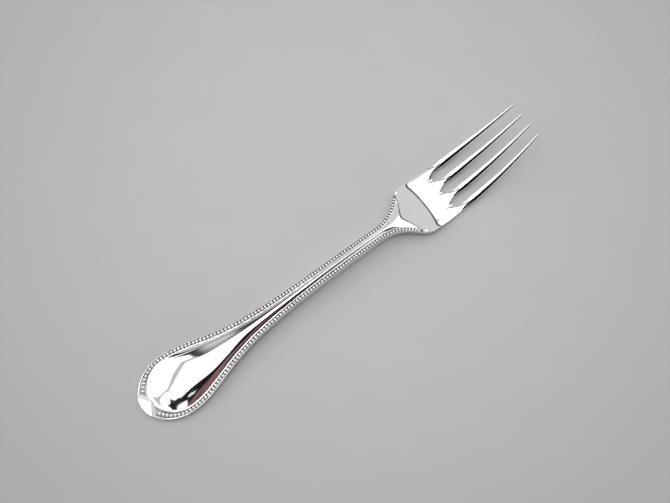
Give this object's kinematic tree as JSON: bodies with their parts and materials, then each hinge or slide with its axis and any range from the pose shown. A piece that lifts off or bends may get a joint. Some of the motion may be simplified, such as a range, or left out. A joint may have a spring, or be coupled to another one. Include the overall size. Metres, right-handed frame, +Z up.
{
  "type": "dessert fork",
  "caption": "Polished silver dessert fork with slim upswept tines, a dished palm and a violin-shaped handle edged by a border of graduated beads that ends at a plain tab.",
  "frame": {"origin": "on the table, under the middle of the fork's length and width", "axes": "+X from the handle's end towards the tine tips, +Y to the left, +Z up from the table that the fork lies on"},
  "size_m": [0.174, 0.024, 0.0162],
  "materials": {
    "polished_silver": "mirror-polished silver with faint hairlines",
    "bead_silver": "mirror-polished silver beads with darker hollows between them"
  },
  "bodies": {
    "root": {"handle_blade": "polished_silver", "shank": "polished_silver", "neck": "polished_silver", "palm": "polished_silver", "tine_1": "polished_silver", "tine_2": "polished_silver", "tine_3": "polished_silver", "tine_4": "polished_silver", "bead_row_left": "bead_silver", "bead_row_right": "bead_silver", "end_tab": "polished_silver"}
  },
  "joints": []
}
